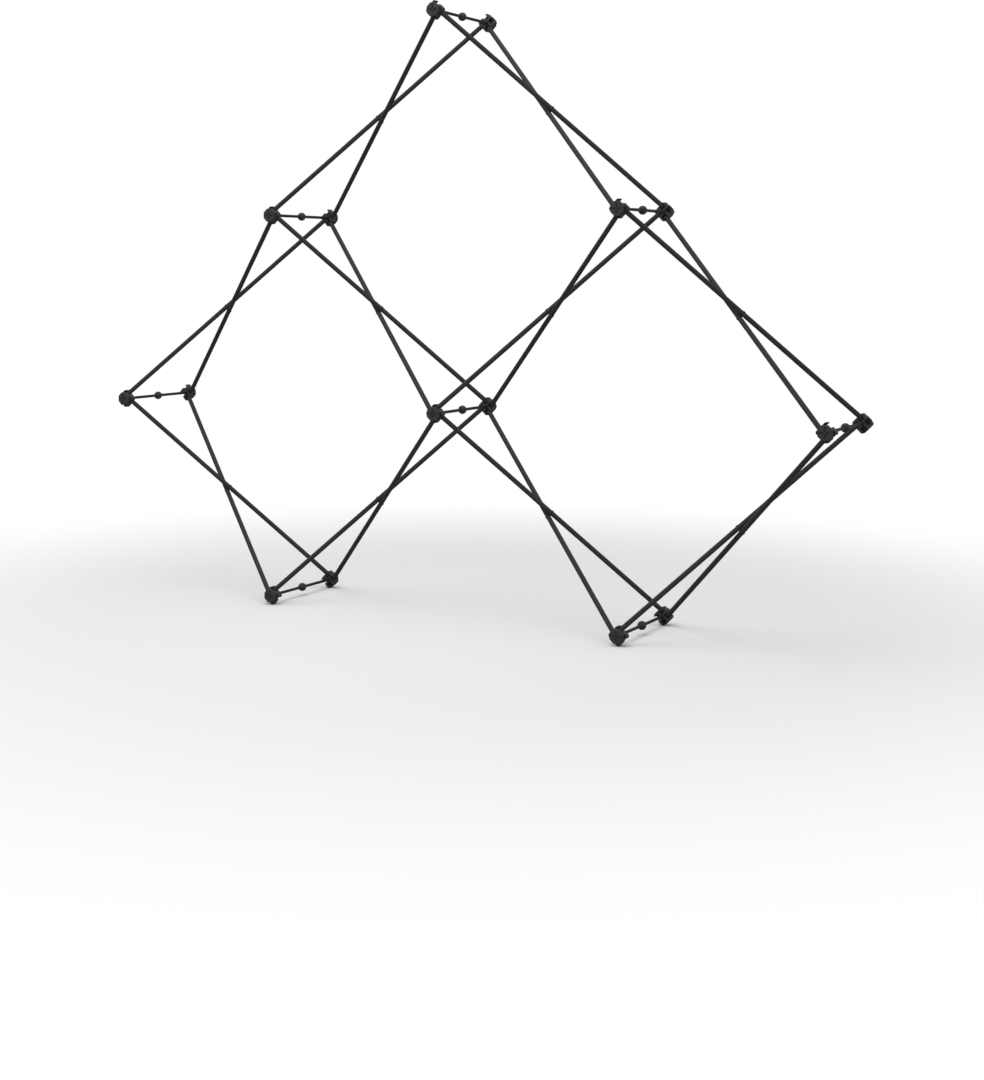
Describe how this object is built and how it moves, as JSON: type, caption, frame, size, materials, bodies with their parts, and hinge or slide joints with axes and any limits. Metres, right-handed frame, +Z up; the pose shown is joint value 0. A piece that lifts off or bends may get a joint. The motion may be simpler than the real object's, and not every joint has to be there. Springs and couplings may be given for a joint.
{
  "type": "pop-up display frame",
  "caption": "Black folding pop-up frame for a tabletop fabric display: crossed tubes pivot in hubs on a turned square grid, held open by snap-lock rods.",
  "frame": {"origin": "on the table, under the middle of the frame", "axes": "+Z up, +X along the width to the right as seen from the display side, display side facing -Y"},
  "size_m": [2.1476, 0.3114, 1.623],
  "materials": {
    "hub_plastic": "moulded, satin black",
    "tube_metal": "black anodised, satin",
    "lock_metal": "black anodised, satin",
    "ball_plastic": "moulded, satin black"
  },
  "bodies": {
    "front_top": {"hub_front_top": "hub_plastic", "lock_rod_front_top": "lock_metal", "lock_ball_top": "ball_plastic"},
    "rear_top": {"hub_rear_top": "hub_plastic", "lock_rod_rear_top": "lock_metal"},
    "front_upper_left": {"hub_front_upper_left": "hub_plastic", "lock_rod_front_upper_left": "lock_metal", "lock_ball_upper_left": "ball_plastic"},
    "rear_upper_left": {"hub_rear_upper_left": "hub_plastic", "lock_rod_rear_upper_left": "lock_metal"},
    "front_upper_right": {"hub_front_upper_right": "hub_plastic", "lock_rod_front_upper_right": "lock_metal", "lock_ball_upper_right": "ball_plastic"},
    "rear_upper_right": {"hub_rear_upper_right": "hub_plastic", "lock_rod_rear_upper_right": "lock_metal"},
    "front_far_left": {"hub_front_far_left": "hub_plastic", "lock_rod_front_far_left": "lock_metal", "lock_ball_far_left": "ball_plastic"},
    "rear_far_left": {"hub_rear_far_left": "hub_plastic", "lock_rod_rear_far_left": "lock_metal"},
    "front_centre": {"hub_front_centre": "hub_plastic", "lock_rod_front_centre": "lock_metal", "lock_ball_centre": "ball_plastic"},
    "rear_centre": {"hub_rear_centre": "hub_plastic", "lock_rod_rear_centre": "lock_metal"},
    "front_far_right": {"hub_front_far_right": "hub_plastic", "lock_rod_front_far_right": "lock_metal", "lock_ball_far_right": "ball_plastic"},
    "rear_far_right": {"hub_rear_far_right": "hub_plastic", "lock_rod_rear_far_right": "lock_metal"},
    "front_foot_left": {"hub_front_foot_left": "hub_plastic", "lock_rod_front_foot_left": "lock_metal", "lock_ball_foot_left": "ball_plastic"},
    "rear_foot_left": {"hub_rear_foot_left": "hub_plastic", "lock_rod_rear_foot_left": "lock_metal"},
    "front_foot_right": {"hub_front_foot_right": "hub_plastic", "lock_rod_front_foot_right": "lock_metal", "lock_ball_foot_right": "ball_plastic"},
    "rear_foot_right": {"hub_rear_foot_right": "hub_plastic", "lock_rod_rear_foot_right": "lock_metal"},
    "tube_front_top_rear_upper_left": {"tube_front_top_rear_upper_left": "tube_metal"},
    "tube_front_upper_left_rear_top": {"tube_front_upper_left_rear_top": "tube_metal"},
    "tube_front_top_rear_upper_right": {"tube_front_top_rear_upper_right": "tube_metal"},
    "tube_front_upper_right_rear_top": {"tube_front_upper_right_rear_top": "tube_metal"},
    "tube_front_upper_left_rear_far_left": {"tube_front_upper_left_rear_far_left": "tube_metal"},
    "tube_front_far_left_rear_upper_left": {"tube_front_far_left_rear_upper_left": "tube_metal"},
    "tube_front_upper_left_rear_centre": {"tube_front_upper_left_rear_centre": "tube_metal"},
    "tube_front_centre_rear_upper_left": {"tube_front_centre_rear_upper_left": "tube_metal"},
    "tube_front_upper_right_rear_centre": {"tube_front_upper_right_rear_centre": "tube_metal"},
    "tube_front_centre_rear_upper_right": {"tube_front_centre_rear_upper_right": "tube_metal"},
    "tube_front_upper_right_rear_far_right": {"tube_front_upper_right_rear_far_right": "tube_metal"},
    "tube_front_far_right_rear_upper_right": {"tube_front_far_right_rear_upper_right": "tube_metal"},
    "tube_front_far_left_rear_foot_left": {"tube_front_far_left_rear_foot_left": "tube_metal"},
    "tube_front_foot_left_rear_far_left": {"tube_front_foot_left_rear_far_left": "tube_metal"},
    "tube_front_centre_rear_foot_left": {"tube_front_centre_rear_foot_left": "tube_metal"},
    "tube_front_foot_left_rear_centre": {"tube_front_foot_left_rear_centre": "tube_metal"},
    "tube_front_centre_rear_foot_right": {"tube_front_centre_rear_foot_right": "tube_metal"},
    "tube_front_foot_right_rear_centre": {"tube_front_foot_right_rear_centre": "tube_metal"},
    "tube_front_far_right_rear_foot_right": {"tube_front_far_right_rear_foot_right": "tube_metal"},
    "tube_front_foot_right_rear_far_right": {"tube_front_foot_right_rear_far_right": "tube_metal"}
  },
  "joints": [
    {"name": "fold", "type": "hinge", "parent": "front_foot_left", "child": "tube_front_foot_left_rear_centre", "pos_m": [-0.51962, -0.13745, 0.039], "axis": [-0.7071, 0, 0.7071], "range_deg": [0, 66]},
    {"name": "pivot_front_foot_left_rear_centre_at_rear_centre", "type": "hinge", "parent": "tube_front_foot_left_rear_centre", "child": "rear_centre", "pos_m": [-0.01453, 0.13745, 0.54408], "axis": [0.7071, 0, -0.7071], "range_deg": [0, 66]},
    {"name": "pivot_front_foot_left_rear_far_left_at_front_foot_left", "type": "hinge", "parent": "front_foot_left", "child": "tube_front_foot_left_rear_far_left", "pos_m": [-0.5392, -0.13745, 0.02952], "axis": [-0.7071, 0, -0.7071], "range_deg": [0, 66]},
    {"name": "pivot_front_foot_left_rear_far_left_at_rear_far_left", "type": "hinge", "parent": "tube_front_foot_left_rear_far_left", "child": "rear_far_left", "pos_m": [-1.04429, 0.13745, 0.53461], "axis": [0.7071, 0, 0.7071], "range_deg": [0, 66]},
    {"name": "pivot_front_upper_left_rear_centre_at_rear_centre", "type": "hinge", "parent": "rear_centre", "child": "tube_front_upper_left_rear_centre", "pos_m": [-0.00506, 0.13745, 0.56367], "axis": [0.7071, 0, 0.7071], "range_deg": [0, 66]},
    {"name": "pivot_front_upper_left_rear_centre_at_front_upper_left", "type": "hinge", "parent": "tube_front_upper_left_rear_centre", "child": "front_upper_left", "pos_m": [-0.51014, -0.13745, 1.06876], "axis": [-0.7071, 0, -0.7071], "range_deg": [0, 66]},
    {"name": "pivot_front_upper_right_rear_centre_at_rear_centre", "type": "hinge", "parent": "rear_centre", "child": "tube_front_upper_right_rear_centre", "pos_m": [0.01453, 0.13745, 0.55419], "axis": [0.7071, 0, -0.7071], "range_deg": [0, 66]},
    {"name": "pivot_front_upper_right_rear_centre_at_front_upper_right", "type": "hinge", "parent": "tube_front_upper_right_rear_centre", "child": "front_upper_right", "pos_m": [0.51962, -0.13745, 1.05928], "axis": [-0.7071, 0, 0.7071], "range_deg": [0, 66]},
    {"name": "pivot_front_foot_right_rear_centre_at_rear_centre", "type": "hinge", "parent": "rear_centre", "child": "tube_front_foot_right_rear_centre", "pos_m": [0.00506, 0.13745, 0.53461], "axis": [-0.7071, 0, -0.7071], "range_deg": [0, 66]},
    {"name": "pivot_front_foot_right_rear_centre_at_front_foot_right", "type": "hinge", "parent": "tube_front_foot_right_rear_centre", "child": "front_foot_right", "pos_m": [0.51014, -0.13745, 0.02952], "axis": [0.7071, 0, 0.7071], "range_deg": [0, 66]},
    {"name": "pivot_front_upper_left_rear_far_left_at_rear_far_left", "type": "hinge", "parent": "rear_far_left", "child": "tube_front_upper_left_rear_far_left", "pos_m": [-1.03482, 0.13745, 0.55419], "axis": [0.7071, 0, -0.7071], "range_deg": [0, 66]},
    {"name": "pivot_front_upper_left_rear_top_at_front_upper_left", "type": "hinge", "parent": "front_upper_left", "child": "tube_front_upper_left_rear_top", "pos_m": [-0.51962, -0.13745, 1.08834], "axis": [-0.7071, 0, 0.7071], "range_deg": [0, 66]},
    {"name": "pivot_front_upper_left_rear_top_at_rear_top", "type": "hinge", "parent": "tube_front_upper_left_rear_top", "child": "rear_top", "pos_m": [-0.01453, 0.13745, 1.59343], "axis": [0.7071, 0, -0.7071], "range_deg": [0, 66]},
    {"name": "pivot_front_upper_right_rear_top_at_front_upper_right", "type": "hinge", "parent": "front_upper_right", "child": "tube_front_upper_right_rear_top", "pos_m": [0.51014, -0.13745, 1.07887], "axis": [-0.7071, 0, -0.7071], "range_deg": [0, 66]},
    {"name": "pivot_front_upper_right_rear_far_right_at_front_upper_right", "type": "hinge", "parent": "front_upper_right", "child": "tube_front_upper_right_rear_far_right", "pos_m": [0.5392, -0.13745, 1.06876], "axis": [0.7071, 0, 0.7071], "range_deg": [0, 66]},
    {"name": "pivot_front_upper_right_rear_far_right_at_rear_far_right", "type": "hinge", "parent": "tube_front_upper_right_rear_far_right", "child": "rear_far_right", "pos_m": [1.04429, 0.13745, 0.56367], "axis": [-0.7071, 0, -0.7071], "range_deg": [0, 66]},
    {"name": "pivot_front_foot_right_rear_far_right_at_front_foot_right", "type": "hinge", "parent": "front_foot_right", "child": "tube_front_foot_right_rear_far_right", "pos_m": [0.52973, -0.13745, 0.039], "axis": [-0.7071, 0, 0.7071], "range_deg": [0, 66]},
    {"name": "crossing_centre_foot_left", "type": "hinge", "parent": "tube_front_foot_left_rear_centre", "child": "tube_front_centre_rear_foot_left", "pos_m": [-0.26234, 0, 0.2868], "axis": [0.7071, 0, -0.7071], "range_deg": [0, 132]},
    {"name": "pivot_front_centre_rear_foot_left_at_front_centre", "type": "hinge", "parent": "tube_front_centre_rear_foot_left", "child": "front_centre", "pos_m": [-0.00506, -0.13745, 0.53461], "axis": [-0.7071, 0, 0.7071], "range_deg": [0, 66]},
    {"name": "pivot_front_centre_rear_foot_left_at_rear_foot_left", "type": "hinge", "parent": "tube_front_centre_rear_foot_left", "child": "rear_foot_left", "pos_m": [-0.51014, 0.13745, 0.02952], "axis": [-0.7071, 0, 0.7071], "range_deg": [0, 66]},
    {"name": "pivot_front_centre_rear_upper_left_at_front_centre", "type": "hinge", "parent": "front_centre", "child": "tube_front_centre_rear_upper_left", "pos_m": [-0.01453, -0.13745, 0.55419], "axis": [-0.7071, 0, -0.7071], "range_deg": [0, 66]},
    {"name": "pivot_front_centre_rear_upper_left_at_rear_upper_left", "type": "hinge", "parent": "tube_front_centre_rear_upper_left", "child": "rear_upper_left", "pos_m": [-0.51962, 0.13745, 1.05928], "axis": [0.7071, 0, 0.7071], "range_deg": [0, 66]},
    {"name": "pivot_front_centre_rear_upper_right_at_front_centre", "type": "hinge", "parent": "front_centre", "child": "tube_front_centre_rear_upper_right", "pos_m": [0.00506, -0.13745, 0.56367], "axis": [-0.7071, 0, 0.7071], "range_deg": [0, 66]},
    {"name": "pivot_front_centre_rear_upper_right_at_rear_upper_right", "type": "hinge", "parent": "tube_front_centre_rear_upper_right", "child": "rear_upper_right", "pos_m": [0.51014, 0.13745, 1.06876], "axis": [0.7071, 0, -0.7071], "range_deg": [0, 66]},
    {"name": "pivot_front_centre_rear_foot_right_at_front_centre", "type": "hinge", "parent": "front_centre", "child": "tube_front_centre_rear_foot_right", "pos_m": [0.01453, -0.13745, 0.54408], "axis": [0.7071, 0, 0.7071], "range_deg": [0, 66]},
    {"name": "pivot_front_centre_rear_foot_right_at_rear_foot_right", "type": "hinge", "parent": "tube_front_centre_rear_foot_right", "child": "rear_foot_right", "pos_m": [0.51962, 0.13745, 0.039], "axis": [-0.7071, 0, -0.7071], "range_deg": [0, 66]},
    {"name": "pivot_front_top_rear_upper_left_at_rear_upper_left", "type": "hinge", "parent": "rear_upper_left", "child": "tube_front_top_rear_upper_left", "pos_m": [-0.51014, 0.13745, 1.07887], "axis": [0.7071, 0, -0.7071], "range_deg": [0, 66]},
    {"name": "pivot_front_top_rear_upper_left_at_front_top", "type": "hinge", "parent": "tube_front_top_rear_upper_left", "child": "front_top", "pos_m": [-0.00506, -0.13745, 1.58395], "axis": [-0.7071, 0, 0.7071], "range_deg": [0, 66]},
    {"name": "pivot_front_far_left_rear_upper_left_at_rear_upper_left", "type": "hinge", "parent": "rear_upper_left", "child": "tube_front_far_left_rear_upper_left", "pos_m": [-0.5392, 0.13745, 1.06876], "axis": [-0.7071, 0, 0.7071], "range_deg": [0, 66]},
    {"name": "pivot_front_far_left_rear_upper_left_at_front_far_left", "type": "hinge", "parent": "tube_front_far_left_rear_upper_left", "child": "front_far_left", "pos_m": [-1.04429, -0.13745, 0.56367], "axis": [0.7071, 0, -0.7071], "range_deg": [0, 66]},
    {"name": "pivot_front_top_rear_upper_right_at_rear_upper_right", "type": "hinge", "parent": "rear_upper_right", "child": "tube_front_top_rear_upper_right", "pos_m": [0.51962, 0.13745, 1.08834], "axis": [0.7071, 0, 0.7071], "range_deg": [0, 66]},
    {"name": "pivot_front_far_right_rear_upper_right_at_rear_upper_right", "type": "hinge", "parent": "rear_upper_right", "child": "tube_front_far_right_rear_upper_right", "pos_m": [0.52973, 0.13745, 1.05928], "axis": [-0.7071, 0, -0.7071], "range_deg": [0, 66]},
    {"name": "pivot_front_far_right_rear_upper_right_at_front_far_right", "type": "hinge", "parent": "tube_front_far_right_rear_upper_right", "child": "front_far_right", "pos_m": [1.03482, -0.13745, 0.55419], "axis": [0.7071, 0, 0.7071], "range_deg": [0, 66]},
    {"name": "pivot_front_far_right_rear_foot_right_at_rear_foot_right", "type": "hinge", "parent": "rear_foot_right", "child": "tube_front_far_right_rear_foot_right", "pos_m": [0.5392, 0.13745, 0.02952], "axis": [0.7071, 0, -0.7071], "range_deg": [0, 66]},
    {"name": "pivot_front_far_left_rear_foot_left_at_front_far_left", "type": "hinge", "parent": "front_far_left", "child": "tube_front_far_left_rear_foot_left", "pos_m": [-1.03482, -0.13745, 0.54408], "axis": [0.7071, 0, 0.7071], "range_deg": [0, 66]}
  ],
  "couplings": [
    {"joint": "pivot_front_foot_left_rear_centre_at_rear_centre", "follows": "fold", "ratio": 1},
    {"joint": "pivot_front_foot_left_rear_far_left_at_front_foot_left", "follows": "fold", "ratio": 1},
    {"joint": "pivot_front_foot_left_rear_far_left_at_rear_far_left", "follows": "fold", "ratio": 1},
    {"joint": "pivot_front_upper_left_rear_centre_at_rear_centre", "follows": "fold", "ratio": 1},
    {"joint": "pivot_front_upper_left_rear_centre_at_front_upper_left", "follows": "fold", "ratio": 1},
    {"joint": "pivot_front_upper_right_rear_centre_at_rear_centre", "follows": "fold", "ratio": 1},
    {"joint": "pivot_front_upper_right_rear_centre_at_front_upper_right", "follows": "fold", "ratio": 1},
    {"joint": "pivot_front_foot_right_rear_centre_at_rear_centre", "follows": "fold", "ratio": 1},
    {"joint": "pivot_front_foot_right_rear_centre_at_front_foot_right", "follows": "fold", "ratio": 1},
    {"joint": "pivot_front_upper_left_rear_far_left_at_rear_far_left", "follows": "fold", "ratio": 1},
    {"joint": "pivot_front_upper_left_rear_top_at_front_upper_left", "follows": "fold", "ratio": 1},
    {"joint": "pivot_front_upper_left_rear_top_at_rear_top", "follows": "fold", "ratio": 1},
    {"joint": "pivot_front_upper_right_rear_top_at_front_upper_right", "follows": "fold", "ratio": 1},
    {"joint": "pivot_front_upper_right_rear_far_right_at_front_upper_right", "follows": "fold", "ratio": 1},
    {"joint": "pivot_front_upper_right_rear_far_right_at_rear_far_right", "follows": "fold", "ratio": 1},
    {"joint": "pivot_front_foot_right_rear_far_right_at_front_foot_right", "follows": "fold", "ratio": 1},
    {"joint": "crossing_centre_foot_left", "follows": "fold", "ratio": 2},
    {"joint": "pivot_front_centre_rear_foot_left_at_front_centre", "follows": "fold", "ratio": 1},
    {"joint": "pivot_front_centre_rear_foot_left_at_rear_foot_left", "follows": "fold", "ratio": 1},
    {"joint": "pivot_front_centre_rear_upper_left_at_front_centre", "follows": "fold", "ratio": 1},
    {"joint": "pivot_front_centre_rear_upper_left_at_rear_upper_left", "follows": "fold", "ratio": 1},
    {"joint": "pivot_front_centre_rear_upper_right_at_front_centre", "follows": "fold", "ratio": 1},
    {"joint": "pivot_front_centre_rear_upper_right_at_rear_upper_right", "follows": "fold", "ratio": 1},
    {"joint": "pivot_front_centre_rear_foot_right_at_front_centre", "follows": "fold", "ratio": 1},
    {"joint": "pivot_front_centre_rear_foot_right_at_rear_foot_right", "follows": "fold", "ratio": 1},
    {"joint": "pivot_front_top_rear_upper_left_at_rear_upper_left", "follows": "fold", "ratio": 1},
    {"joint": "pivot_front_top_rear_upper_left_at_front_top", "follows": "fold", "ratio": 1},
    {"joint": "pivot_front_far_left_rear_upper_left_at_rear_upper_left", "follows": "fold", "ratio": 1},
    {"joint": "pivot_front_far_left_rear_upper_left_at_front_far_left", "follows": "fold", "ratio": 1},
    {"joint": "pivot_front_top_rear_upper_right_at_rear_upper_right", "follows": "fold", "ratio": 1},
    {"joint": "pivot_front_far_right_rear_upper_right_at_rear_upper_right", "follows": "fold", "ratio": 1},
    {"joint": "pivot_front_far_right_rear_upper_right_at_front_far_right", "follows": "fold", "ratio": 1},
    {"joint": "pivot_front_far_right_rear_foot_right_at_rear_foot_right", "follows": "fold", "ratio": 1},
    {"joint": "pivot_front_far_left_rear_foot_left_at_front_far_left", "follows": "fold", "ratio": 1}
  ]
}
